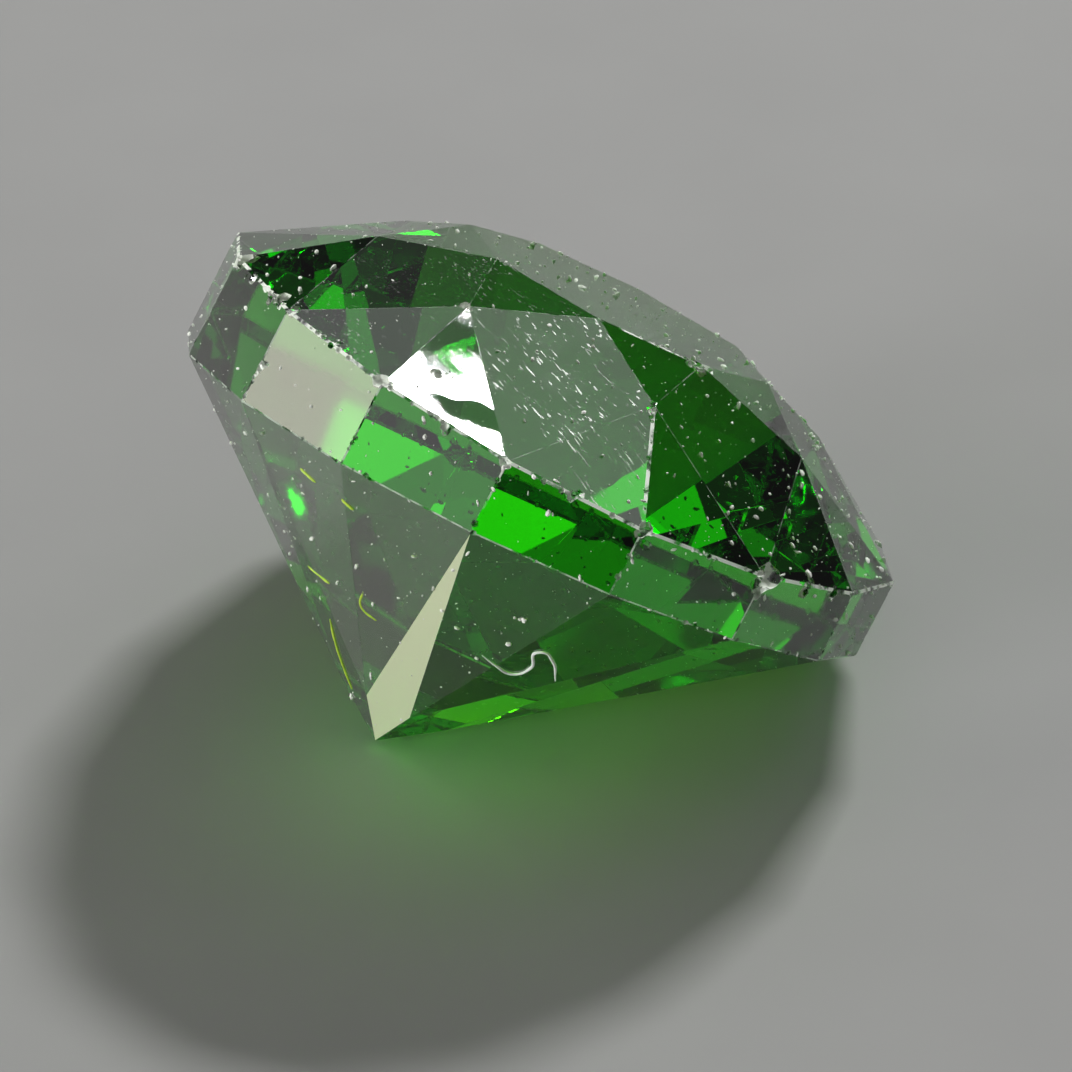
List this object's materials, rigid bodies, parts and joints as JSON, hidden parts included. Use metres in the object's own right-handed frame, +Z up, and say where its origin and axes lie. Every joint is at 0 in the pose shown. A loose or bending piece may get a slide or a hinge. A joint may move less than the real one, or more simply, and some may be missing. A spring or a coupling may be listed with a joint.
{
  "type": "demantoid garnet",
  "caption": "Loose faceted green garnet, cut as a round brilliant and lying on one of its lower facets.",
  "frame": {"origin": "under the middle of the stone's box, on the surface that it lies on", "axes": "+Z up, out of the surface; the stone's own axis leans toward +X and +Y, and its pointed culet touches the surface on the -X and -Y side"},
  "size_m": [0.0062, 0.0062, 0.0044],
  "materials": {
    "garnet": "gloss"
  },
  "bodies": {
    "root": {"stone": "garnet"}
  },
  "joints": []
}
